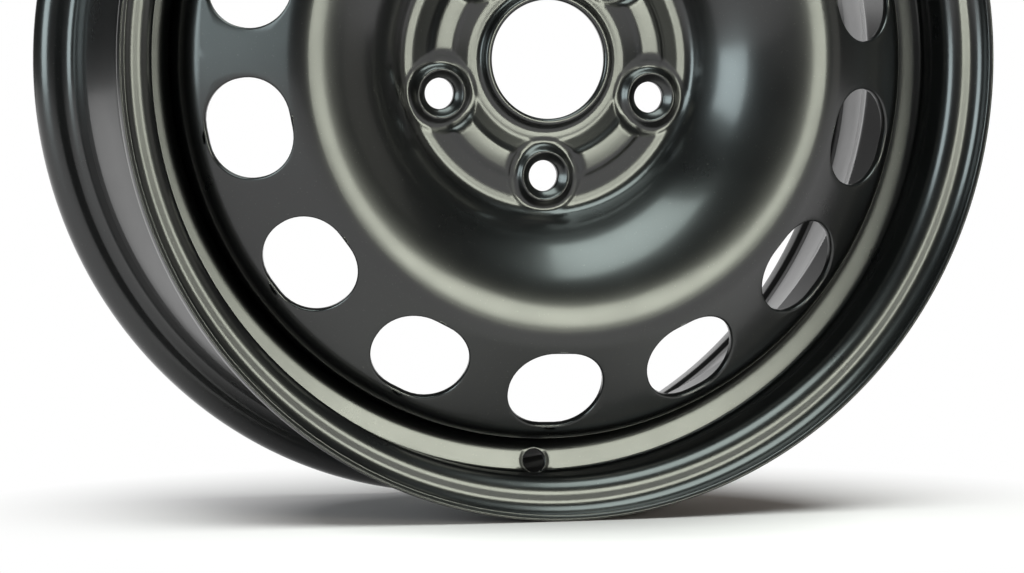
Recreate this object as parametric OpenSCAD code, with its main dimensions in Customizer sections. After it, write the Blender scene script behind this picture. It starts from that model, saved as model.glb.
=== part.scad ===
// Pressed steel road wheel: a roll-formed rim with a pressed disc welded inside its well.
// The origin is the centre of the hub's mounting face. The wheel turns about Y, its
// outboard side looks along -Y and +Z is up. A section is drawn as points [r, h]: r is the
// distance from the axis, and h the height outboard of the plane that the section names.

/* [Rim] */
// Nominal diameter of the bead seats
seat_d = 405.6; // [380:0.1:430]
// Width between the two flange faces
rim_w = 152.4; // [140:0.1:178]
// Thickness of the rim's sheet
rim_t = 2.5; // [2:0.1:3.2]
// Height of the flanges above the bead seats
flange_h = 17.3; // [15:0.1:20]
// Radius of the curl at the top of a flange, on the tyre's side
curl_r = 9.5; // [8:0.1:11]
// Angle through which the curl turns back down past the top of a flange
curl_drop = 21; // [10:1:35]
// Radius between a bead seat and its flange, on the tyre's side
heel_r = 6.5; // [5:0.1:7.5]
// Slope of the bead seats
seat_slope = 5; // [4:0.5:6]
// Distance of each safety hump's crest from the flange face
hump_in = 20; // [18:0.1:21]
// Half the width of a safety hump at its foot
hump_half = 4.5; // [4:0.1:5.5]
// How far a hump's crest lies below the nominal seat
hump_drop = 0.3; // [0.1:0.1:0.6]

/* [Well] */
// Depth of the well below the nominal seat
well_depth = 17.5; // [15:0.1:22]
// Width of the outboard shelf, from the flange face to the well's wall
shelf_w = 31.5; // [30:0.1:36]
// How far the well's outboard wall leans towards the outboard side
wall_lean = 16; // [8:1:24]
// Width of the well's floor
floor_w = 21.8; // [18:0.1:26]
// Bend radius at the outboard end of the floor, on the tyre's side
floor_bend = 6.2; // [4:0.1:8]
// Slope of the ramp that rises from the floor on the inboard side
ramp_slope = 19.4; // [17:0.1:26]
// Depth below the nominal seat at which the ramp turns into the gentle inboard slope
ramp_drop = 6.1; // [5:0.1:8]
// Depth of the two shelves beside the humps below the nominal seat
shelf_drop = 0.6; // [0.4:0.1:1]
// Distance of the inboard shelf's inner end from the flange face
inboard_shelf_w = 26.2; // [26:0.1:30]
// Bend radius between the well's outboard wall and the shelf, on the tyre's side
shelf_bend = 4.5; // [3.5:0.1:6]
// Radius of the soft bends along the inboard ramp, on the tyre's side
ramp_bend = 12; // [8:1:20]

/* [Valve hole] */
// Diameter of the valve hole
valve_d = 11.3; // [10:0.1:13]
// Depth of the hole's centre below the outboard shelf, along the radius
valve_depth = 7.9; // [7.8:0.1:9]
// Diameter of the round flat spot-faced for the valve's seal
valve_seat_d = 13.8; // [12.5:0.1:15]
// Depth of that flat below the wall's surface
valve_seat_in = 0.1; // [0.1:0.05:0.4]
// Angle of the valve hole and of the first bolt hole round the axis, from straight down
valve_turn = -1; // [-12:1:12]

/* [Disc] */
// Distance of the mounting face outboard of the rim's middle plane
offset = 50; // [45:1:54]
// Thickness of the disc's sheet
disc_t = 3.5; // [3:0.1:4.2]
// Height of the crown above the mounting face
crown_h = 41.3; // [36:0.1:46]
// Distance from the top of the crown to the inner side of the well, along the radius
band_run = 56.2; // [53:0.1:60]
// Radius of the crown's outer bend
crown_bend = 22; // [16:1:26]
// Steepest slope of the bowl's wall
bowl_slope = 68; // [62:1:72]
// Radius of the bend at the foot of the bowl
bowl_bend = 6; // [5:0.1:7]
// Slope of the ventilated band outside the crown
band_slope = 31.5; // [28:0.5:34]
// Radius of the bend between the band and the disc's flange
shoulder_bend = 10; // [7:0.5:12]
// How far the disc's flange reaches over the floor of the well
flange_grip = 7.2; // [5:0.1:12]

/* [Hub face] */
// Diameter of the centre bore
bore_d = 57.1; // [50:0.1:60]
// Height of the collar round the bore above the mounting face
collar_h = 8.3; // [7.5:0.1:10]
// Bend radius at the foot of the collar
collar_bend = 1.5; // [1:0.1:2.4]
// Outer radius of the inner contact ring
inner_ring_r = 39.4; // [38:0.1:41]
// Inner radius of the outer contact ring
outer_ring_r = 67.4; // [66:0.1:68.5]
// Width of the outer contact ring, up to the corner under the bowl
outer_ring_w = 7.2; // [7:0.1:8.5]
// Height of the lug zone between the two rings above the rings
zone_rise = 1.6; // [1:0.1:2]
// Inner radius of the lug zone
zone_in_r = 42.4; // [42:0.1:43.5]
// Radius from which the lug zone slopes down to the outer ring
zone_out_r = 59.5; // [57:0.1:61]
// Bend radius at the edges of the rings and of the lug zone
ring_bend = 2.4; // [1.5:0.1:3]

/* [Wheel bolts] */
// Number of wheel bolt holes
lugs = 5; // [4:1:5]
// Diameter of the circle through the wheel bolt holes
lug_circle_d = 112; // [108:0.1:114.3]
// Diameter of the wheel bolt holes
lug_d = 15; // [13:0.1:16]
// Radius of the ball seats for the wheel bolts
seat_ball_r = 14; // [13:0.1:15]
// Outer radius of the ball seats
seat_r = 11.3; // [10.5:0.1:12]
// Height of the bosses that carry the seats above the mounting face
boss_h = 6.6; // [6.2:0.1:7.4]
// Radius of a boss at its foot
boss_foot_r = 14.5; // [13.6:0.1:15.5]
// Radius of the round pocket pressed in round each boss
pocket_r = 18.5; // [17:0.1:18.6]
// Height of the pocket's floor above the contact rings' front
pocket_rise = 0.3; // [0.2:0.1:0.8]
// How far the pocket's floor runs on into the sheet around it
pocket_skirt = 1; // [0.6:0.1:1.5]
// Width of the rounded edge between a boss's seat and its outer slope
boss_edge = 0.6; // [0.4:0.1:1]

/* [Pads] */
// Radius of the arc along the middle of the raised pads
pad_r = 53; // [51:0.1:55]
// Length of a pad's flat top along that arc
pad_l = 30; // [26:0.1:34]
// Width of a pad's flat top
pad_w = 9; // [7:0.1:10]
// Height of a pad's top above the lug zone
pad_rise = 0.9; // [0.6:0.1:1.2]
// Slope of a pad's sides, measured from the face
pad_slope = 40; // [30:1:60]

/* [Vents] */
// Number of vents
vents = 14; // [10:1:16]
// Width of a vent along the rim
vent_w = 47.2; // [40:0.1:52]
// Height of a vent along the slope of the band
vent_l = 41.2; // [36:0.1:42]
// Radius of the vents' corners
vent_corner = 20; // [14:0.1:20.5]

/* [Welds] */
// Angle that each weld bead takes round the axis
weld_turn = 18; // [10:1:30]
// Leg of the fillet that a weld bead fills
weld_leg = 3.5; // [2.5:0.1:5]

/* [Hidden] */
welds = 8;
$fn = 96;
steel = [0.10, 0.10, 0.11];
weld_steel = [0.13, 0.13, 0.14];
// Largest step of a bend that is drawn with short straight pieces
bend_step = 7.5;
// Overlap by which a cutter reaches past the face that it cuts
past = 1;

// Heights of the rim's section are measured from its middle plane, which lies inboard
half_w = rim_w / 2;
seat_top = seat_d / 2;
flange_top = seat_top + flange_h;
well_top = seat_top - well_depth;
well_in = well_top - rim_t;
shelf_top = seat_top - shelf_drop;
hump_at = half_w - hump_in;
hump_top = seat_top - hump_drop;
function seat_at(h) = seat_top - (half_w - h) * tan(seat_slope);
wall_foot_h = half_w - shelf_w - (shelf_top - well_top) * tan(wall_lean);
ramp_foot_h = wall_foot_h - floor_w;
ramp_top = seat_top - ramp_drop;
ramp_top_h = ramp_foot_h - (ramp_top - well_top) / tan(ramp_slope);
curl_end = 2 * curl_r * tan(curl_drop / 2);

// Heights of the disc's section are measured from the mounting face
face_h = disc_t;
zone_h = face_h + zone_rise;
crown_r = well_in - band_run;
bowl_foot_r = outer_ring_r + outer_ring_w;
bowl_corner_r = bowl_foot_r + (crown_h - face_h) / tan(bowl_slope);
bowl_r = (crown_r - bowl_corner_r) / tan(bowl_slope / 2);
crown_corner_r = crown_r + crown_bend * tan(band_slope / 2);
shoulder_h = crown_h - (well_in - crown_corner_r) * tan(band_slope);
floor_end_h = wall_foot_h - floor_bend * tan((90 - wall_lean) / 2);
flange_end_h = floor_end_h - flange_grip - offset;

// The vents sit in the middle of the straight part of the band
band_start_r = crown_r + crown_bend * sin(band_slope);
band_end_r = well_in - shoulder_bend * (1 - sin(band_slope));
vent_r = (band_start_r + band_end_r) / 2;
vent_h = crown_h - (vent_r - crown_corner_r) * tan(band_slope);

// The valve hole goes square through the middle of the well's outboard wall
valve_r = shelf_top - valve_depth;
valve_h = wall_foot_h + (valve_r - well_top) * tan(wall_lean) + rim_t / 2 / cos(wall_lean) - offset;

lug_r = lug_circle_d / 2;
first_lug = -90 + valve_turn;
pocket_h = face_h + pocket_rise;
seat_ball_h = boss_h + sqrt(seat_ball_r ^ 2 - seat_r ^ 2);
pocket_back_h = pocket_h - disc_t;
pad_top_h = zone_h + pad_rise;
pad_turn = pad_l / pad_r * 180 / PI;
first_pad = first_lug + 180 / lugs;

// The weld bead's round front, from the flange's end to the well
bead_front = [for (a = [180:15:270]) [well_in + weld_leg * cos(a), weld_leg * sin(a)]];

function direction(a, b) = (b - a) / norm(b - a);
function left_of(v) = [-v[1], v[0]];
function cross2(a, b) = a[0] * b[1] - a[1] * b[0];

// Points of a bend of radius R at corner b, on the side that lies d left of the path
function bend(a, b, c, R, d) =
    let (u = direction(a, b), w = direction(b, c),
         turn = atan2(cross2(u, w), u * w),
         side = turn < 0 ? -1 : 1,
         centre = b - u * R * tan(abs(turn) / 2) + left_of(u) * R * side,
         arm = -left_of(u) * side * (R - d * side),
         steps = max(1, ceil(abs(turn) / bend_step)))
    [for (i = [0:steps])
        let (t = turn * i / steps)
        centre + [arm[0] * cos(t) - arm[1] * sin(t), arm[0] * sin(t) + arm[1] * cos(t)]];

// One side of a sheet. The path is a list of [r, h, R] with the bend radius R at each corner
function sheet_side(path, d) =
    let (p = [for (q = path) [q[0], q[1]]], n = len(p) - 1)
    [p[0] + left_of(direction(p[0], p[1])) * d,
     for (i = [1:n - 1]) each bend(p[i - 1], p[i], p[i + 1], path[i][2], d),
     p[n] + left_of(direction(p[n - 1], p[n])) * d];

function reversed(list) = [for (i = [len(list) - 1:-1:0]) list[i]];
function spaced(list) = [for (i = [0:len(list) - 1]) if (i == 0 || norm(list[i] - list[i - 1]) > 0.01) list[i]];
function sheet_outline(path, t) = spaced(concat(sheet_side(path, 0), reversed(sheet_side(path, -t))));

// From the hump to the lip the two halves of the rim are mirror images
half_path = [
    [shelf_top, hump_at - hump_half, 7],
    [hump_top, hump_at, 6],
    [seat_at(hump_at + hump_half), hump_at + hump_half, 7],
    [seat_top, half_w, heel_r],
    [flange_top, half_w, curl_r],
    [flange_top, half_w + curl_r + curl_end / 2, curl_r],
    [flange_top - curl_end / 2 * sin(curl_drop), half_w + curl_r + curl_end / 2 * (1 + cos(curl_drop)), 0]];

// The rim's tyre side, from the outboard lip to the inboard lip
rim_path = concat(
    reversed(half_path),
    [[shelf_top, half_w - shelf_w, shelf_bend],
     [well_top, wall_foot_h, floor_bend],
     [well_top, ramp_foot_h, ramp_bend],
     [ramp_top, ramp_top_h, ramp_bend],
     [shelf_top, inboard_shelf_w - half_w, ramp_bend]],
    [for (q = half_path) [q[0], -q[1], q[2]]]);

// The disc's outboard side, from the lip of the collar to the end of the flange
disc_path = [
    [bore_d / 2 + disc_t, collar_h, 0],
    [bore_d / 2 + disc_t, face_h, collar_bend],
    [inner_ring_r, face_h, ring_bend],
    [zone_in_r, zone_h, ring_bend + disc_t],
    [zone_out_r, zone_h, ring_bend + disc_t],
    [outer_ring_r, face_h, ring_bend],
    [bowl_foot_r, face_h, bowl_bend],
    [bowl_corner_r, crown_h, bowl_r],
    [crown_corner_r, crown_h, crown_bend],
    [well_in, shoulder_h, shoulder_bend],
    [well_in, flange_end_h, 0]];

// Turns a section round the wheel's axis, with its heights running outboard
module turned(points, from_h = 0) {
    translate([0, -from_h, 0])
        rotate([90, 0, 0])
            rotate_extrude()
                polygon(points);
}

// Puts copies round the axis. A copy's +X points away from the axis, its +Z outboard
module around(count, first, r) {
    for (i = [0:count - 1])
        rotate([90, 0, 0])
            rotate(first + i * 360 / count)
                translate([r, 0, 0])
                    children();
}

// The rim is one rolled sheet, with a hole for the valve in the well's outboard wall
module rim() {
    color(steel)
        difference() {
            turned(sheet_outline(rim_path, rim_t), -offset);
            around(1, first_lug, valve_r)
                translate([0, 0, valve_h])
                    rotate([0, -wall_lean, 0]) {
                        cylinder(d = valve_d, h = 4 * rim_t, center = true);
                        translate([0, 0, rim_t / 2 - valve_seat_in])
                            cylinder(d = valve_seat_d, h = rim_t);
                    }
        }
}

// The disc is one pressing: collar, contact rings, bolt seats, bowl, crown, band and flange
module disc() {
    color(steel) {
        difference() {
            union() {
                turned(sheet_outline(disc_path, disc_t));
                around(lugs, first_pad, 0) pad(0);
            }
            around(lugs, first_lug, lug_r) pocket_room();
            around(lugs, first_pad, 0) pad(-disc_t);
            around(vents, first_lug, vent_r) vent();
        }
        around(lugs, first_lug, lug_r) bolt_seat();
    }
}

// Room of a round pocket, with a wall that leans back as the bowl does
module pocket_room() {
    below = pocket_h + past;
    above = 2 * bowl_bend;
    translate([0, 0, -past])
        cylinder(r1 = pocket_r - below / tan(bowl_slope), r2 = pocket_r + above / tan(bowl_slope),
                 h = below + above);
}

// The pocket's floor with its raised boss, pierced for a bolt and hollowed for the bolt's ball
module bolt_seat() {
    difference() {
        rotate_extrude()
            polygon([
                [0, pocket_back_h],
                [pocket_r + pocket_skirt, pocket_back_h],
                [pocket_r + pocket_skirt, pocket_h],
                [boss_foot_r, pocket_h],
                [seat_r + boss_edge, boss_h],
                [0, boss_h]]);
        translate([0, 0, pocket_back_h - past])
            cylinder(d = lug_d, h = boss_h + 2 * past);
        translate([0, 0, seat_ball_h])
            sphere(r = seat_ball_r);
    }
}

// One raised pad between two bolt holes, shifted by lift along the axis
module pad(lift) {
    foot_h = zone_h - past;
    rise = pad_top_h - foot_h;
    spread = rise / tan(pad_slope);
    half = pad_w / 2;
    translate([0, 0, foot_h + lift]) {
        rotate(-pad_turn / 2)
            rotate_extrude(angle = pad_turn)
                translate([pad_r, 0])
                    polygon([[-half - spread, 0], [half + spread, 0], [half, rise], [-half, rise]]);
        for (end = [-1, 1])
            rotate(end * pad_turn / 2)
                translate([pad_r, 0, 0])
                    cylinder(r1 = half + spread, r2 = half, h = rise);
    }
}

// The cutter for one vent, square to the slope of the band
module vent() {
    w = vent_w - 2 * vent_corner;
    l = vent_l - 2 * vent_corner;
    translate([0, 0, vent_h])
        rotate([0, band_slope, 0])
            linear_extrude(height = 6 * disc_t, center = true) {
                square([vent_l, w], center = true);
                square([l, vent_w], center = true);
                for (x = [-l / 2, l / 2], y = [-w / 2, w / 2])
                    translate([x, y])
                        circle(r = vent_corner);
            }
}

// One weld bead in the corner between the end of the disc's flange and the well
module weld(i) {
    turn = first_lug + (i - 0.5) * 360 / welds;
    color(weld_steel)
        around(1, turn, 0)
            translate([0, 0, flange_end_h])
                rotate(-weld_turn / 2)
                    rotate_extrude(angle = weld_turn)
                        polygon(concat([[well_in, 0]], bead_front));
}

rim();
disc();
weld(1);  // weld_1
weld(2);  // weld_2
weld(3);  // weld_3
weld(4);  // weld_4
weld(5);  // weld_5
weld(6);  // weld_6
weld(7);  // weld_7
weld(8);  // weld_8
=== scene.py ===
import math

import bmesh
import bpy
import numpy as np
from mathutils import Euler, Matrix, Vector, noise
from mathutils.geometry import delaunay_2d_cdt


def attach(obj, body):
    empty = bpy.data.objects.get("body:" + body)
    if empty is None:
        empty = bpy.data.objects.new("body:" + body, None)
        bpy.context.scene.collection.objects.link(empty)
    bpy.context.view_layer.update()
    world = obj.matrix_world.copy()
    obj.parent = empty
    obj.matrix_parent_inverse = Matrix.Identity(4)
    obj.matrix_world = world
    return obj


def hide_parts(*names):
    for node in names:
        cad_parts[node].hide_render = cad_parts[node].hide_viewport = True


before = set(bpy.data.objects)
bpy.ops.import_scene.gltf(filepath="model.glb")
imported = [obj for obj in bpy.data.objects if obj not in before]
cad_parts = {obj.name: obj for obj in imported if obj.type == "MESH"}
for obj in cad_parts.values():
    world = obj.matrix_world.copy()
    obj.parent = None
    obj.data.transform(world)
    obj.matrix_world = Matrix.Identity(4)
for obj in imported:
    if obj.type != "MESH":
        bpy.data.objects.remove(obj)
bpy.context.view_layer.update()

# Sizes are in millimetres and angles in degrees. A section is a list of points (r, h): r from the
# wheel's axis, and h the height outboard of the hub's mounting face, which is the plane y = 0.
# A path is a section's corners (r, h, R), each with the radius R that its bend has on that side.
MM = 0.001

# Rim: R is a radius from the axis, W a width along it, H a height and D a diameter
SEAT_R = 202.8
HALF_W = 76.2
RIM_T = 2.5
FLANGE_H = 17.3
CURL_R = 9.5
CURL_DROP = 21.0
HEEL_R = 6.5
SEAT_SLOPE = 5.0
HUMP_IN = 20.0
HUMP_HALF = 4.5
HUMP_DROP = 0.3
HUMP_BEND = 6.0
HUMP_SIDE_BEND = 7.0
OFFSET = 50.0
WELL_R = SEAT_R - 17.5
WELL_IN = WELL_R - RIM_T
SHELF_R = SEAT_R - 0.6
SHELF_W = 31.5
WALL_LEAN = 9.0
FLOOR_W = 23.97
FLOOR_BEND = 6.2
RAMP_SLOPE = 19.4
RAMP_R = SEAT_R - 6.1
INBOARD_SHELF_W = 26.2
SHELF_BEND = 4.5
RAMP_BEND = 12.0
VALVE_D = 11.3
VALVE_SEAT_D = 13.8
VALVE_SEAT_IN = 0.1
VALVE_EDGE = 0.4
VALVE_R = SHELF_R - 7.9
RIM_AROUND = 240
RIM_STEP = 6.0

# Window round the valve hole that has a finer mesh: half its columns and half its length along the
# wall, how near the section's points are split, and the length of their parts there and elsewhere
WINDOW_COLUMNS = 3
WINDOW_HALF = 10.6
FINE_WITHIN = 20.0
FINE_PART = 1.3
COARSE_PART = 12.0
VALVE_AROUND = 40

# Disc
DISC_T = 3.5
CROWN_H = 41.3
CROWN_R = WELL_IN - 53.2
CROWN_BEND = 19.5
BOWL_SLOPE = 68.0
BOWL_BEND = 6.0
BAND_SLOPE = 31.5
SHOULDER_BEND = 12.8
FLANGE_GRIP = 8.75
HUB_IN_R = 35.5
HUB_OUT_R = 78.5
BORE_R = 28.55
COLLAR_H = 8.3
COLLAR_BEND = 3.2
LIP_EDGE = 1.6
INNER_RING_R = 39.4
INNER_RING_TOP_R = 37.7
INNER_RING_HALF = 2.2
OUTER_RING_R = 67.4
OUTER_RING_W = 7.2
ZONE_RISE = 1.6
ZONE_IN_R = 46.5
ZONE_OUT_R = 57.2
RING_BEND = 2.4
EDGE = 0.7

# Bolt seats and pads
LUGS = 5
LUG_R = 56.0
LUG_HOLE_R = 7.5
LUG_AROUND = 48
BALL_R = 14.0
BALL_RIM_R = 11.3
BOSS_H = 6.6
BOSS_EDGE = 0.6
BOSS_SOFT = 0.8
BOSS_FOOT_R = 14.5
BOSS_FOOT_SOFT = 1.6
BALL_EDGE_SOFT = 0.5
POCKET_R = 17.5
POCKET_RISE = 0.3
POCKET_DISH = 0.2
POCKET_WALL = 0.9
POCKET_SOFT = 3.0
POCKET_BACK_WALL = 3.0
POCKET_BACK_SOFT = 0.8
PAD_R = 53.0
PAD_L = 30.0
PAD_W = 9.0
PAD_RISE = 0.9
PAD_SOFT = 3.0
ROUNDING = 0.09

# Vents
VENTS = 14
VENT_W = 47.2
VENT_L = 41.2
VENT_CORNER = 20.0
VENT_EDGE = 1.1
VENT_BACK_EDGE = 0.5

# Angle of the first bolt hole, the first vent and the valve hole round the axis, in radians
FIRST = math.radians(-91)
AROUND = VENTS * 20

# Mesh of the disc: degrees of bend from point to point, spacing of the hub zone's points round and
# across the axis, the finer one across the outer ring's foot, and how much wider the back has them
FRONT_STEP = 2.5
BACK_STEP = 5.0
COLLAR_STEP = 10.0
SHOULDER_STEP = 8.0
HUB_TURN_GAP = 1.265
HUB_GAP = 0.935
HUB_FINE_GAP = 0.495
HUB_FINE_R = 70.5
LUG_TURN_GAP = 1.155
LUG_GAP = 0.88
LUG_FINE_GAP = 0.55
BACK_SPREAD = 2.0
PATCH_R = POCKET_R + 2.6

# Weld beads
WELDS = 8
WELD_TURN = 18.0
WELD_LEG = 3.5
WELD_STEPS = 150
RIPPLE = 0.07
RIPPLE_PITCH = 1.9
WANDER = 0.06


def tan(degrees):
    return math.tan(math.radians(degrees))


def sin(degrees):
    return math.sin(math.radians(degrees))


def cos(degrees):
    return math.cos(math.radians(degrees))


def bent(path, step):
    """The section of a path, with a point every so many degrees of each bend."""
    p = [np.array(q[:2], float) for q in path]
    out = [p[0]]
    for a, b, c, q in zip(p, p[1:], p[2:], path[1:]):
        u = (b - a) / np.linalg.norm(b - a)
        w = (c - b) / np.linalg.norm(c - b)
        turn = math.atan2(u[0] * w[1] - u[1] * w[0], u @ w)
        if q[2] == 0 or abs(turn) < 1e-6:
            out.append(b)
            continue
        hand = math.copysign(1, turn)
        start = b - u * q[2] * math.tan(abs(turn) / 2)
        centre = start + np.array([-u[1], u[0]]) * q[2] * hand
        arm = start - centre
        steps = max(2, math.ceil(abs(math.degrees(turn)) / step))
        for t in np.linspace(0, turn, steps + 1):
            out.append(centre + np.array([arm[0] * math.cos(t) - arm[1] * math.sin(t),
                                          arm[0] * math.sin(t) + arm[1] * math.cos(t)]))
    out.append(p[-1])
    keep = [out[0]]
    for q in out[1:]:
        if np.linalg.norm(q - keep[-1]) > 0.01:
            keep.append(q)
    return np.array(keep)


def offset_path(path, d):
    """The path of a sheet's other side, d to the left of the path, with its bends concentric."""
    p = [np.array(q[:2], float) for q in path]
    out = []
    for i, q in enumerate(path):
        before = p[i] - p[i - 1] if i > 0 else p[1] - p[0]
        after = p[i + 1] - p[i] if i < len(p) - 1 else before
        u = before / np.linalg.norm(before)
        w = after / np.linalg.norm(after)
        turn = math.atan2(u[0] * w[1] - u[1] * w[0], u @ w)
        left = np.array([-u[1], u[0]])
        shift = left * d + u * (-d * math.tan(turn / 2))
        radius = q[2] - math.copysign(1, turn) * d if q[2] else 0
        out.append((*(p[i] + shift), radius))
    return out


class Mesh:
    """Vertices in millimetres in the row frame, and the faces of strips and patches between them."""

    def __init__(self):
        self.verts = []
        self.faces = []

    def add(self, verts):
        """Adds vertices, and returns the number of the first."""
        first = len(self.verts)
        self.verts.extend(map(tuple, verts))
        return first

    def grid(self, rows, closed):
        """Faces between rows of points. Each row runs round the axis, closed or not."""
        n = len(rows[0])
        first = self.add(p for row in rows for p in row)
        for i in range(len(rows) - 1):
            for j in range(n if closed else n - 1):
                k = (j + 1) % n
                a, b = first + i * n, first + (i + 1) * n
                self.faces.append((a + j, a + k, b + k, b + j))

    def object(self, name):
        """A smooth Blender object of the mesh, with points that meet joined."""
        mesh = bpy.data.meshes.new(name)
        mesh.from_pydata([(x * MM, y * MM, z * MM) for x, y, z in self.verts], [], self.faces)
        mesh.validate()
        b = bmesh.new()
        b.from_mesh(mesh)
        bmesh.ops.remove_doubles(b, verts=b.verts, dist=0.001 * MM)
        bmesh.ops.dissolve_degenerate(b, dist=0.0001 * MM, edges=b.edges)
        bmesh.ops.recalc_face_normals(b, faces=b.faces)
        b.to_mesh(mesh)
        b.free()
        mesh.shade_smooth()
        obj = bpy.data.objects.new(name, mesh)
        bpy.context.scene.collection.objects.link(obj)
        return obj


def place(r, h, angle):
    """The point at radius r, height h and an angle round the axis, in the row frame."""
    return (r * math.cos(angle), -h, r * math.sin(angle))


def turn_round(mesh, section):
    """Adds the surface that a section sweeps round the axis."""
    angles = FIRST + np.arange(AROUND) * 2 * math.pi / AROUND
    mesh.grid([[place(r, h, a) for a in angles] for r, h in section], True)


def disc_path():
    """Corners of the disc's outboard side, from the inner contact ring to the end of the flange."""
    zone_h = DISC_T + ZONE_RISE
    foot_r = OUTER_RING_R + OUTER_RING_W
    corner_r = foot_r + (CROWN_H - DISC_T) / tan(BOWL_SLOPE)
    bowl_r = (CROWN_R - corner_r) / tan(BOWL_SLOPE / 2)
    crown_corner_r = CROWN_R + CROWN_BEND * tan(BAND_SLOPE / 2)
    shoulder_h = CROWN_H - (WELL_IN - crown_corner_r) * tan(BAND_SLOPE)
    wall_foot_h = HALF_W - SHELF_W - (SHELF_R - WELL_R) * tan(WALL_LEAN)
    flange_end_h = wall_foot_h - FLOOR_BEND * tan((90 - WALL_LEAN) / 2) - FLANGE_GRIP - OFFSET
    return [(HUB_IN_R, DISC_T, 0), (INNER_RING_R, DISC_T, RING_BEND),
            (ZONE_IN_R, zone_h, RING_BEND + DISC_T), (ZONE_OUT_R, zone_h, RING_BEND + DISC_T),
            (OUTER_RING_R, DISC_T, RING_BEND),
            (foot_r, DISC_T, BOWL_BEND), (corner_r, CROWN_H, bowl_r),
            (crown_corner_r, CROWN_H, CROWN_BEND), (WELL_IN, shoulder_h, SHOULDER_BEND),
            (WELL_IN, flange_end_h, 0)]


def smooth_min(a, b, soft):
    """The lower of two heights, with the corner between them rounded over a height of soft."""
    h = np.maximum(soft - np.abs(a - b), 0) / soft
    return np.minimum(a, b) - h * h * soft / 4


def smooth_max(a, b, soft):
    """The higher of two heights, with the corner between them rounded."""
    return -smooth_min(-a, -b, soft)


def smooth_step(t):
    """0 below 0, 1 above 1, and an even S between."""
    t = np.clip(t, 0, 1)
    return t * t * (3 - 2 * t)


def lug_centres():
    """Centres of the bolt holes in the plan of the face."""
    angles = FIRST + np.arange(LUGS) * 2 * math.pi / LUGS
    return [(LUG_R * math.cos(a), LUG_R * math.sin(a)) for a in angles]


def lug_distance(x, z):
    """Distance of each point of the face from the nearest bolt hole's centre."""
    return np.min([np.hypot(x - cx, z - cz) for cx, cz in lug_centres()], axis=0)


def pad_rise(x, z):
    """Height that the raised pads between the bolt holes add to the face."""
    half_turn = PAD_L / PAD_R / 2
    r, angle = np.hypot(x, z), np.arctan2(z, x)
    out = np.zeros_like(r)
    for i in range(LUGS):
        middle = FIRST + math.pi / LUGS + i * 2 * math.pi / LUGS
        off = (angle - middle + math.pi) % (2 * math.pi) - math.pi
        held = np.clip(off, -half_turn, half_turn)
        d = np.hypot(r * np.cos(off) - PAD_R * np.cos(held), r * np.sin(off) - PAD_R * np.sin(held))
        soft = PAD_RISE * smooth_step(1 - (d - PAD_W / 2) / PAD_SOFT)
        out = np.maximum(out, soft + ROUNDING * np.maximum(1 - (2 * d / PAD_W) ** 2, 0))
    return out


def ring_rounding(r):
    """Slight rounding across the tops of the two contact rings."""
    half = OUTER_RING_W / 2
    inner = np.maximum(1 - ((r - INNER_RING_TOP_R) / INNER_RING_HALF) ** 2, 0)
    outer = np.maximum(1 - ((r - OUTER_RING_R - half) / half) ** 2, 0)
    return ROUNDING * (inner + outer)


def hub_front(x, z, section):
    """Height of the outboard face of the hub zone: rings, pads, round pockets and ball seats."""
    r = np.hypot(x, z)
    h = np.interp(r, section[:, 0], section[:, 1]) + pad_rise(x, z) + ring_rounding(r)
    d = lug_distance(x, z)
    floor = DISC_T + POCKET_RISE
    dish = (np.maximum(d - BALL_RIM_R - 1, 0) * POCKET_DISH
            + np.maximum(d - POCKET_R, 0) * POCKET_WALL)
    h += (smooth_min(h, floor + dish, POCKET_SOFT) - h) * smooth_step((HUB_OUT_R - r) / 3)
    slope = (BOSS_H - floor) / (BOSS_FOOT_R - BALL_RIM_R - BOSS_EDGE)
    boss = smooth_min(BOSS_H + (BALL_RIM_R + BOSS_EDGE - d) * slope, BOSS_H, BOSS_SOFT)
    h = np.where(d < POCKET_R, smooth_max(h, boss, BOSS_FOOT_SOFT), h)
    ball_h = BOSS_H + math.sqrt(BALL_R ** 2 - BALL_RIM_R ** 2)
    ball = ball_h - np.sqrt(np.maximum(BALL_R ** 2 - d ** 2, 0))
    return np.where(d < BALL_R - 0.5, smooth_min(h, ball, BALL_EDGE_SOFT), h)


def hub_back(x, z, section):
    """Height of the inboard face of the hub zone."""
    h = np.interp(np.hypot(x, z), section[:, 0], section[:, 1]) + pad_rise(x, z)
    back = POCKET_RISE + np.maximum(lug_distance(x, z) - POCKET_R - 1, 0) * POCKET_BACK_WALL
    return smooth_min(h, back, POCKET_BACK_SOFT)


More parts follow.
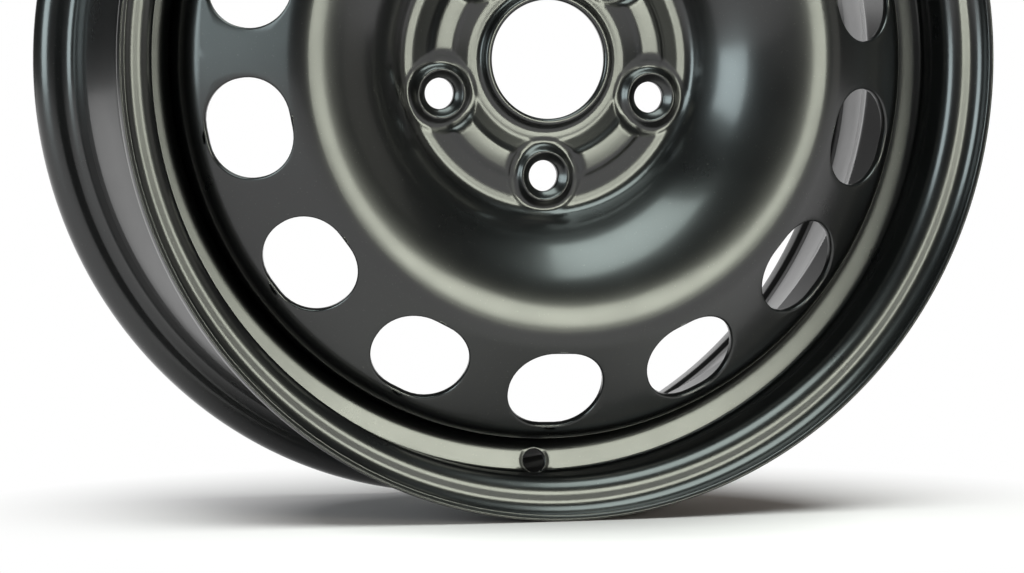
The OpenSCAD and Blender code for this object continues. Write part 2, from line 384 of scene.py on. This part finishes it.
def hub_plan(spread):
    """Plan of the hub zone: its points, with their gaps times spread, and its triangles."""
    points, loops = [], []

    def loop(cx, cz, r, n):
        first = len(points)
        points.extend((cx + r * math.cos(a), cz + r * math.sin(a))
                      for a in FIRST + np.arange(n) * 2 * math.pi / n)
        loops.append(list(range(first, first + n)))

    centres = lug_centres()
    loop(0, 0, HUB_IN_R, AROUND)
    loop(0, 0, HUB_OUT_R, AROUND)
    for c in centres:
        loop(*c, LUG_HOLE_R, LUG_AROUND)
    r = HUB_IN_R + 0.8
    ring = 0
    while r < HUB_OUT_R - 0.5:
        n = int(2 * math.pi * r / (HUB_TURN_GAP * spread))
        for a in FIRST + (np.arange(n) + 0.5 * (ring % 2)) * 2 * math.pi / n:
            p = (r * math.cos(a), r * math.sin(a))
            if min(math.dist(p, c) for c in centres) > PATCH_R:
                points.append(p)
        r += (HUB_FINE_GAP if r > HUB_FINE_R else HUB_GAP) * spread
        ring += 1
    for c in centres:
        d = LUG_HOLE_R + 0.45
        ring = 0
        while d < PATCH_R - 0.2:
            n = int(2 * math.pi * d / (LUG_TURN_GAP * spread))
            for a in (np.arange(n) + 0.5 * (ring % 2)) * 2 * math.pi / n:
                p = (c[0] + d * math.cos(a), c[1] + d * math.sin(a))
                if HUB_IN_R + 0.6 < math.hypot(*p) < HUB_OUT_R - 0.6:
                    points.append(p)
            d += (LUG_GAP if 15.5 <= d <= 17 else LUG_FINE_GAP) * spread
            ring += 1
    edges = [(a, b) for ids in loops for a, b in zip(ids, ids[1:] + ids[:1])]
    verts, _, faces, *_ = delaunay_2d_cdt([Vector(p) for p in points], edges, [], 0, 1e-5, False)
    flat = np.array([(v.x, v.y) for v in verts])
    keep = []
    for f in faces:
        m = flat[list(f)].mean(0)
        in_ring = HUB_IN_R < math.hypot(*m) * 1.0001 and math.hypot(*m) < HUB_OUT_R
        if in_ring and min(math.dist(m, c) for c in centres) > LUG_HOLE_R * 0.999:
            keep.append(tuple(f))
    return flat, keep


def vent_outline(angle, grow):
    """Distance from the vent's centre to its rounded outline, grown outward, along an angle."""
    a, b, c = VENT_L / 2 + grow, VENT_W / 2 + grow, VENT_CORNER + grow
    lo, hi = 0.0, a + b
    ux, uy = abs(math.cos(angle)), abs(math.sin(angle))
    for _ in range(50):
        t = (lo + hi) / 2
        x, y = t * ux - (a - c), t * uy - (b - c)
        d = math.hypot(x, y) - c if x > 0 and y > 0 else max(x, y) - c
        lo, hi = (t, hi) if d < 0 else (lo, t)
    return lo


def band(mesh, start, end):
    """The ventilated band between two points of the front section, with its vents."""
    slope = np.array([cos(BAND_SLOPE), -sin(BAND_SLOPE)])
    normal = np.array([sin(BAND_SLOPE), cos(BAND_SLOPE)])
    middle = (start + end) / 2
    half = np.linalg.norm(end - start) / 2
    half_turn = math.pi / VENTS
    per_side, per_end = 12, AROUND // VENTS

    def on_cone(angle, grow, depth):
        """Point (along, turn) of the vent's grown outline on the front (depth 0) or back (1) cone."""
        d = vent_outline(angle, grow)
        x, y = d * math.cos(angle), d * math.sin(angle)
        base = middle - normal * DISC_T * depth
        along = x
        for _ in range(4):
            r = base[0] + along * slope[0]
            off = math.asin(y / r)
            along = x + r * (1 - math.cos(off)) * slope[0]
        return along, off

    def point(along, off, depth, turn):
        r, h = middle - normal * DISC_T * depth + slope * along
        return np.array(place(r, h, turn + off))

    # The border of one vent's share of the band, once round
    ends = [(-1 + 2 * i / per_end) * half_turn for i in range(per_end)]
    sides = [(-1 + 2 * i / per_side) * half for i in range(per_side)]
    border = [(-half, off) for off in ends] + [(along, half_turn) for along in sides]
    border += [(half, -off) for off in ends] + [(-along, -half_turn) for along in sides]
    angles = [math.atan2((middle[0] + along * slope[0]) * math.sin(off), along) for along, off in border]

    def skin(depth, edge, rings=5):
        """Rows of points from the border to the outline of the vent."""
        outline = [on_cone(a, edge, depth) for a in angles]
        return [[(b[0] + (q[0] - b[0]) * k / rings, b[1] + (q[1] - b[1]) * k / rings)
                 for b, q in zip(border, outline)] for k in range(rings + 1)]

    front_rows, back_rows = skin(0, VENT_EDGE), skin(1, VENT_BACK_EDGE)
    walls = []
    for t in np.linspace(0, 90, 6)[1:]:
        walls.append((VENT_EDGE * (1 - sin(t)), VENT_EDGE * (1 - cos(t)) / DISC_T))
    for t in np.linspace(90, 0, 4)[:-1]:
        walls.append((VENT_BACK_EDGE * (1 - sin(t)), 1 - VENT_BACK_EDGE * (1 - cos(t)) / DISC_T))
    wall_rows = [[(on_cone(a, grow, 0), on_cone(a, grow, 1), depth) for a in angles]
                 for grow, depth in walls]
    for i in range(VENTS):
        turn = FIRST + i * 2 * half_turn
        rows = [[point(*q, 0, turn) for q in row] for row in front_rows]
        for row in wall_rows:
            rows.append([point(*f, 0, turn) * (1 - d) + point(*b, 1, turn) * d for f, b, d in row])
        rows += [[point(*q, 1, turn) for q in row] for row in reversed(back_rows)]
        mesh.grid(rows, True)


def disc_mesh():
    """The whole pressing: hub zone, collar, bowl and crown, ventilated band, shoulder and flange."""
    path = disc_path()
    back_path = offset_path(path, -DISC_T)
    front, back = bent(path, FRONT_STEP), bent(back_path, BACK_STEP)
    mesh = Mesh()

    for height, section, spread in ((hub_front, front, 1.0), (hub_back, back, BACK_SPREAD)):
        flat, faces = hub_plan(spread)
        x, z = flat[:, 0], flat[:, 1]
        first = mesh.add(zip(x, -height(x, z, section), z))
        mesh.faces.extend(tuple(first + k for k in f) for f in faces)
    a = FIRST + np.arange(LUG_AROUND) * 2 * math.pi / LUG_AROUND
    for cx, cz in lug_centres():
        px, pz = cx + LUG_HOLE_R * np.cos(a), cz + LUG_HOLE_R * np.sin(a)
        mesh.grid([list(zip(px, -hub_front(px, pz, front), pz)),
                   list(zip(px, -hub_back(px, pz, back), pz))], True)

    wall_r = BORE_R + DISC_T
    collar = bent([(HUB_IN_R, DISC_T, 0), (wall_r, DISC_T, COLLAR_BEND),
                   (wall_r, COLLAR_H, LIP_EDGE), (BORE_R, COLLAR_H, LIP_EDGE),
                   (BORE_R, 0, COLLAR_BEND + DISC_T), (HUB_IN_R, 0, 0)], COLLAR_STEP)
    turn_round(mesh, collar)

    bend_out = CROWN_BEND * sin(BAND_SLOPE)
    start = np.array([CROWN_R + bend_out, CROWN_H - CROWN_BEND * (1 - cos(BAND_SLOPE))])
    end_r = WELL_IN - SHOULDER_BEND * (1 - sin(BAND_SLOPE))
    end = start + np.array([end_r - start[0], -(end_r - start[0]) * tan(BAND_SLOPE)])
    shift = np.array([sin(BAND_SLOPE), cos(BAND_SLOPE)]) * DISC_T
    for section, last in ((front, start), (back, start - shift)):
        middle = [q for q in section if HUB_OUT_R < q[0] < last[0] - 0.05]
        first = (HUB_OUT_R, np.interp(HUB_OUT_R, section[:, 0], section[:, 1]))
        turn_round(mesh, [first, *middle, tuple(last)])
    band(mesh, start, end)
    shoulder = bent([(*end, 0), path[-2], (*path[-1][:2], EDGE), (*back_path[-1][:2], EDGE),
                     back_path[-2], (*(end - shift), 0)], SHOULDER_STEP)
    turn_round(mesh, shoulder)
    return mesh


def rim_path():
    """Corners of the rim's tyre side, from the outboard lip to the inboard lip."""
    top = SEAT_R + FLANGE_H
    hump = HALF_W - HUMP_IN
    lip = CURL_R * tan(CURL_DROP / 2)
    half = [(SHELF_R, hump - HUMP_HALF, HUMP_SIDE_BEND), (SEAT_R - HUMP_DROP, hump, HUMP_BEND),
            (SEAT_R - (HUMP_IN - HUMP_HALF) * tan(SEAT_SLOPE), hump + HUMP_HALF, HUMP_SIDE_BEND),
            (SEAT_R, HALF_W, HEEL_R), (top, HALF_W, CURL_R), (top, HALF_W + CURL_R + lip, CURL_R),
            (top - lip * sin(CURL_DROP), HALF_W + CURL_R + lip * (1 + cos(CURL_DROP)), 0)]
    wall_foot_h = HALF_W - SHELF_W - (SHELF_R - WELL_R) * tan(WALL_LEAN)
    ramp_foot_h = wall_foot_h - FLOOR_W
    middle = [(SHELF_R, HALF_W - SHELF_W, SHELF_BEND), (WELL_R, wall_foot_h, FLOOR_BEND),
              (WELL_R, ramp_foot_h, RAMP_BEND),
              (RAMP_R, ramp_foot_h - (RAMP_R - WELL_R) / tan(RAMP_SLOPE), RAMP_BEND),
              (SHELF_R, INBOARD_SHELF_W - HALF_W, RAMP_BEND)]
    whole = half[::-1] + middle + [(r, -h, R) for r, h, R in half]
    return [(r, h - OFFSET, R) for r, h, R in whole]


def inside(x, y, loop):
    """Is a point inside a closed loop?"""
    hits = 0
    for (ax, ay), (bx, by) in zip(loop, loop[1:] + loop[:1]):
        if (ay > y) != (by > y) and x < ax + (y - ay) * (bx - ax) / (by - ay):
            hits += 1
    return hits % 2 == 1


def valve_patch(mesh, section, side, flat_x, centre, lean, out):
    """Fills the window of the rim's wall round the valve hole, and returns the hole's inner edge.

    side is 1 for the tyre's side and -1 for the other, flat_x is how far along the wall each point
    of the section lies from the hole's axis, and lean and out are the wall's own directions.
    """
    turn = 2 * math.pi / RIM_AROUND
    hole, pad = VALVE_D / 2, VALVE_SEAT_D / 2
    if flat_x[0] > flat_x[-1]:
        section, flat_x = section[::-1], flat_x[::-1]
    plane = centre + out * side * (RIM_T / 2 - (VALVE_SEAT_IN if side > 0 else 0))

    def surface(x, y):
        off = 0.0
        for _ in range(4):
            r = np.interp(x + VALVE_R * (1 - math.cos(off)) * lean[0], flat_x, section[:, 0])
            off = math.asin(y / r)
        x += VALVE_R * (1 - math.cos(off)) * lean[0]
        return place(r, np.interp(x, flat_x, section[:, 1]), FIRST + off)

    def flat(x, y, depth):
        r, h = plane + lean * x - out * side * depth
        return place(math.hypot(r, y), h, FIRST + math.atan2(y, r))

    def in_plan(i, j):
        r = section[i][0]
        off = j * turn
        return flat_x[i] - VALVE_R * (1 - math.cos(off)) * lean[0], r * math.sin(off)

    last, columns = len(section) - 1, WINDOW_COLUMNS
    border = [(i, -columns) for i in range(last)] + [(last, j) for j in range(-columns, columns)]
    border += [(i, columns) for i in range(last, 0, -1)]
    border += [(0, j) for j in range(columns, -columns, -1)]
    plan = [in_plan(i, j) for i, j in border]
    at = [place(*section[i], FIRST + j * turn) for i, j in border]
    rings = [(hole + VALVE_EDGE * (1 - sin(t)), VALVE_EDGE * (1 - cos(t))) for t in (90, 66, 44, 22, 0)]
    rings += [(pad, 0), (pad + 0.4, None), (pad + 1.4, None)]
    for d, depth in rings:
        for a in np.arange(VALVE_AROUND) * 2 * math.pi / VALVE_AROUND:
            x, y = d * math.cos(a), d * math.sin(a)
            plan.append((x, y))
            at.append(surface(x, y) if depth is None else flat(x, y, depth))
    for i in range(1, last):
        for j in np.arange(-columns + 0.5, columns, 0.5):
            x, y = in_plan(i, j)
            if math.hypot(x, y) > pad + 2.0:
                plan.append((x, y))
                at.append(place(*section[i], FIRST + j * turn))
    ends = len(border)
    edges = [(k, (k + 1) % ends) for k in range(ends)]
    edges += [(ends + k, ends + (k + 1) % VALVE_AROUND) for k in range(VALVE_AROUND)]
    verts, _, faces, origin, *_ = delaunay_2d_cdt([Vector(q) for q in plan], edges, [],
                                                  1, 1e-6, True)
    first = mesh.add(at[o[0]] if o else surface(*v) for v, o in zip(verts, origin))
    for f in faces:
        middle = sum((verts[k] for k in f), Vector((0, 0))) / len(f)
        if middle.length > hole * 0.998 and inside(*middle, plan[:ends]):
            mesh.faces.append(tuple(first + k for k in f))
    return at[ends:ends + VALVE_AROUND]


def rim_mesh():
    """The whole rim: its section swept round, with the valve hole in the well's outboard wall."""
    tyre = rim_path()
    inner = offset_path(tyre, -RIM_T)
    for side in (tyre, inner):
        side[0] = (*side[0][:2], EDGE)
        side[-1] = (*side[-1][:2], EDGE)
    well = [i for i, q in enumerate(tyre) if q[0] == WELL_R][0]
    seam = ((tyre[well][0] + tyre[well + 1][0]) / 2, (tyre[well][1] + tyre[well + 1][1]) / 2, 0)
    coarse = bent([seam, *tyre[well + 1:], *inner[::-1], *tyre[:well + 1], seam], RIM_STEP)

    lean = np.array([cos(WALL_LEAN), sin(WALL_LEAN)])
    out = np.array([-sin(WALL_LEAN), cos(WALL_LEAN)])
    wall_h = tyre[well][1] + (VALVE_R - WELL_R) * tan(WALL_LEAN)
    centre = np.array([VALVE_R, wall_h + RIM_T / 2 / cos(WALL_LEAN)])
    section = [coarse[0]]
    for a, b in zip(coarse, coarse[1:]):
        by_valve = np.linalg.norm((a + b) / 2 - centre) < FINE_WITHIN
        parts = math.ceil(np.linalg.norm(b - a) / (FINE_PART if by_valve else COARSE_PART))
        section.extend(a + (b - a) * k / parts for k in range(1, parts + 1))
    section = np.array(section)
    arc = np.concatenate([[0], np.cumsum(np.linalg.norm(np.diff(section, axis=0), axis=1))])

    windows = []
    for side in (1, -1):
        middle = centre + out * side * RIM_T / 2
        k = int(np.argmin(np.linalg.norm(section - middle, axis=1)))
        along = section[k + 1] - section[k - 1]
        along /= np.linalg.norm(along)
        flat_x = (arc - arc[k] - (middle - section[k]) @ along) * math.copysign(1, along @ lean)
        near = np.flatnonzero(np.abs(flat_x) < WINDOW_HALF)
        windows.append((side, flat_x, near))
    mesh = Mesh()
    n = RIM_AROUND
    angles = FIRST + np.arange(n) * 2 * math.pi / n
    first = mesh.add(place(r, h, a) for r, h in section for a in angles)
    holed = {i for _, _, near in windows for i in near[:-1]}
    for i in range(len(section) - 1):
        for j in range(n):
            if i in holed and (j < WINDOW_COLUMNS or j >= n - WINDOW_COLUMNS):
                continue
            k = (j + 1) % n
            mesh.faces.append((first + i * n + j, first + i * n + k,
                               first + (i + 1) * n + k, first + (i + 1) * n + j))
    mesh.grid([valve_patch(mesh, section[near], side, flat_x[near], centre, lean, out)
               for side, flat_x, near in windows], True)
    return mesh


def weld_mesh(i):
    """One rippled bead in the corner between the end of the disc's flange and the well."""
    mesh = Mesh()
    end_h = disc_path()[-1][1]
    middle = FIRST + (i - 0.5) * 2 * math.pi / WELDS
    half = math.radians(WELD_TURN) / 2
    rows = []
    for k in range(WELD_STEPS + 1):
        t = k / WELD_STEPS * 2 - 1
        angle = middle + t * half
        left = (1 - abs(t)) * half * WELL_IN
        size = WELD_LEG * math.sqrt(max(0.0, 1 - (1 - min(left / WELD_LEG, 1)) ** 2))
        ripple = RIPPLE * math.sin(t * half * WELL_IN * 2 * math.pi / RIPPLE_PITCH)
        wander = WANDER * noise.noise(Vector((t * 6, i * 7.3, 0)))
        size *= 0.95 + 0.5 * (ripple + wander)
        row = []
        for a in np.linspace(0, 90, 9):
            lag = ripple * sin(2 * a) * 0.5
            row.append(place(WELL_IN - size * cos(a), end_h - size * sin(a), angle + lag / WELL_IN))
        row.append(place(WELL_IN, end_h, angle))
        rows.append(row)
    mesh.grid(rows, False)
    n = len(rows[0])
    for k in range(WELD_STEPS):
        a, b = k * n, (k + 1) * n
        mesh.faces.append((a + n - 1, a, b, b + n - 1))
    return mesh


class Nodes:
    """The emptied node tree of a material or world, and short calls for its nodes."""

    def __init__(self, owner):
        owner.use_nodes = True
        self.tree = owner.node_tree
        self.tree.nodes.clear()

    def add(self, kind, inputs=(), **settings):
        node = self.tree.nodes.new(kind)
        for key, value in settings.items():
            setattr(node, key, value)
        for key, value in dict(inputs).items():
            if isinstance(value, bpy.types.NodeSocket):
                self.tree.links.new(value, node.inputs[key])
            else:
                node.inputs[key].default_value = value
        return node

    def maximum(self, a, b):
        return self.add("ShaderNodeMath", {0: a, 1: b}, operation="MAXIMUM").outputs[0]

    def noise(self, vector, scale, detail=3.0, rough=0.55):
        return self.add("ShaderNodeTexNoise", {"Vector": vector, "Scale": scale, "Detail": detail,
                                               "Roughness": rough}).outputs["Fac"]

    def span(self, value, low, high, out_low=0.0, out_high=1.0):
        return self.add("ShaderNodeMapRange", {"Value": value, "From Min": low, "From Max": high,
                                               "To Min": out_low, "To Max": out_high}).outputs[0]


def black_coat(name, base, rough, coat_rough, dust, wave, grain):
    """Smooth black dip coat on steel: a soft lower gloss under a clearer one, with faint dust.

    base is the coat's grey, dust what the dusty patches add to it, and wave and grain are the
    depths in metres of its slow waves and of its fine skin.
    """
    material = bpy.data.materials.new(name)
    n = Nodes(material)
    at = n.add("ShaderNodeTexCoord").outputs["Object"]
    patches = n.span(n.noise(at, 9.0, 4.0), 0.4, 0.72)
    specks = n.span(n.noise(at, 900.0, 2.0), 0.66, 0.8)
    colour = n.add("ShaderNodeMix", {"Factor": patches, "A": (base, base, base, 1.0),
                                     "B": (base + dust, base + dust, base + dust, 1.0)},
                   data_type="RGBA")
    speckled = n.add("ShaderNodeMix", {"Factor": n.span(specks, 0, 1, 0, 0.35),
                                       "A": colour.outputs["Result"],
                                       "B": (0.11, 0.105, 0.095, 1.0)}, data_type="RGBA")
    roughness = n.span(n.noise(at, 26.0, 4.0, 0.6), 0.3, 0.75, rough - 0.03, rough + 0.05)
    flow = n.add("ShaderNodeBump", {"Height": n.noise(at, 75.0, 2.0), "Strength": 1.0,
                                    "Distance": wave})
    skin = n.add("ShaderNodeBump", {"Height": n.noise(at, 1300.0, 2.0), "Strength": 1.0,
                                    "Distance": grain, "Normal": flow.outputs["Normal"]})
    shader = n.add("ShaderNodeBsdfPrincipled", {
        "Base Color": speckled.outputs["Result"], "Roughness": roughness, "IOR": 1.5,
        "Specular IOR Level": 0.5, "Coat Weight": 0.55, "Coat Roughness": coat_rough,
        "Coat IOR": 1.5, "Normal": skin.outputs["Normal"], "Coat Normal": flow.outputs["Normal"]})
    n.add("ShaderNodeOutputMaterial", {"Surface": shader.outputs["BSDF"]})
    return material


def dress(obj, material, slot, *nodes):
    """Gives a piece its material, and puts it in the place of its CAD nodes."""
    obj.data.materials.append(material)
    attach(obj, "root")
    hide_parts(*nodes)


steel = black_coat("black_dip_coat", 0.003, 0.30, 0.16, 0.002, 0.00002, 0.000002)
bead = black_coat("weld_bead_coat", 0.005, 0.34, 0.20, 0.003, 0.00004, 0.000006)
dress(disc_mesh().object("disc_pressing"), steel, "black_steel", "disc")
dress(rim_mesh().object("rim_ring"), steel, "black_steel", "rim")
for weld in range(1, WELDS + 1):
    dress(weld_mesh(weld).object(f"weld_bead_{weld}"), bead, "weld_bead", f"weld_{weld}")


def shown_rays(n):
    """1 for the camera's own rays and for those in a mirror or through glass."""
    rays = n.add("ShaderNodeLightPath").outputs
    return n.maximum(n.maximum(rays["Is Camera Ray"], rays["Is Glossy Ray"]),
                     rays["Is Transmission Ray"])


def floor_material():
    """Pale floor that holds the contact shadow, with painted shade that darkens its colour near the
    wheel, and fades to plain white away from the wheel.
    """
    material = bpy.data.materials.new("pale_floor")
    n = Nodes(material)
    at = n.add("ShaderNodeTexCoord").outputs["Object"]
    apart = n.add("ShaderNodeVectorMath", {0: at, 1: (1.0, 1.0, 0.0), 2: (-0.012, 0.0, 0.0)},
                  operation="MULTIPLY_ADD")
    far = n.add("ShaderNodeVectorMath", {0: apart.outputs["Vector"]}, operation="LENGTH")
    fade = n.span(far.outputs["Value"], 0.12, 0.31)
    # Painted shade: the paper's colour falls to half at the wheel's middle and rises to full by 0.15 m
    # away, deepening the contact shadow.
    near = n.span(far.outputs["Value"], 0.03, 0.15, 0.5, 1.0)
    mottle = n.span(n.noise(at, 30.0), 0, 1, 0.74, 0.78)
    red = n.span(n.noise(at, 30.0), 0, 1, 0.84, 0.88)
    colour = n.add("ShaderNodeCombineColor", {"Red": red, "Green": mottle, "Blue": mottle})
    painted_shade_colour = n.add("ShaderNodeVectorMath", {0: colour.outputs["Color"], "Scale": near},
                 operation="SCALE")
    paper = n.add("ShaderNodeBsdfDiffuse", {"Color": painted_shade_colour.outputs["Vector"]})
    white = n.add("ShaderNodeEmission", {"Color": (1.0, 1.0, 1.0, 1.0), "Strength": 1.0})
    part = n.add("ShaderNodeMath", {0: fade, 1: shown_rays(n)}, operation="MULTIPLY")
    mix = n.add("ShaderNodeMixShader", {"Fac": part.outputs[0], 1: paper.outputs["BSDF"],
                                        2: white.outputs["Emission"]})
    n.add("ShaderNodeOutputMaterial", {"Surface": mix.outputs["Shader"]})
    return material


def add_floor(side):
    """A square floor under the wheel."""
    x = side / 2
    mesh = bpy.data.meshes.new("floor")
    mesh.from_pydata([(-x, -x, 0), (x, -x, 0), (x, x, 0), (-x, x, 0)], [], [(0, 1, 2, 3)])
    mesh.materials.append(floor_material())
    floor = bpy.data.objects.new("floor", mesh)
    floor.location = (0, 0, -(SEAT_R + FLANGE_H) * MM)
    bpy.context.scene.collection.objects.link(floor)


def softbox(name, azimuth, elevation, width, height, level, colour):
    """Area light on the side of the object that an azimuth and elevation name, aimed at its middle.

    level is the brightness of its face, whatever its size.
    """
    a, e = math.radians(azimuth), math.radians(elevation)
    away = Vector((math.sin(a) * math.cos(e), -math.cos(a) * math.cos(e), math.sin(e)))
    lamp = bpy.data.lights.new(name, "AREA")
    lamp.shape = "RECTANGLE"
    lamp.size, lamp.size_y = width, height
    lamp.energy = level * width * height * math.pi
    lamp.color = colour
    obj = bpy.data.objects.new(name, lamp)
    obj.location = Vector((0, 0.02, 0)) + away * 3.0
    obj.rotation_euler = away.to_track_quat("Z", "Y").to_euler()
    bpy.context.scene.collection.objects.link(obj)


def world_light():
    """Dark studio room with a white backdrop behind the object, plain white where it shows."""
    world = bpy.data.worlds.new("studio")
    bpy.context.scene.world = world
    n = Nodes(world)
    at = n.add("ShaderNodeTexCoord").outputs["Generated"]
    behind = n.add("ShaderNodeVectorMath", {0: at, 1: (0.32, 0.945, -0.04)},
                   operation="DOT_PRODUCT")
    level = n.span(behind.outputs["Value"], 0.82, 0.95, 0.05, 1.0)
    camera = n.add("ShaderNodeLightPath").outputs["Is Camera Ray"]
    light = n.add("ShaderNodeBackground", {"Color": (1.0, 1.0, 1.0, 1.0),
                                           "Strength": n.maximum(level, camera)})
    n.add("ShaderNodeOutputWorld", {"Surface": light.outputs["Background"]})


add_floor(6.0)
softbox("front_panel", 20, 7.5, 0.78, 0.90, 13.5, (0.96, 1.0, 0.84))
softbox("top_panel", 0, 71, 2.6, 2.8, 6.3, (0.85, 1.0, 0.96))
softbox("left_panel", -66, 6, 1.6, 1.8, 7.6, (0.82, 0.98, 1.0))
softbox("right_panel", 62, 4, 1.4, 2.0, 0.4, (1.0, 1.0, 0.90))
world_light()

camera = bpy.data.objects.new("camera", bpy.data.cameras.new("camera"))
camera.data.sensor_width = 36.0
camera.data.lens = 165.3
camera.location = (-0.7403, -2.1461, -0.0129)
camera.rotation_euler = Euler([math.radians(a) for a in (87.56, 0, -18.649)])
bpy.context.scene.collection.objects.link(camera)
bpy.context.scene.camera = camera

bpy.context.scene.view_settings.view_transform = "Standard"
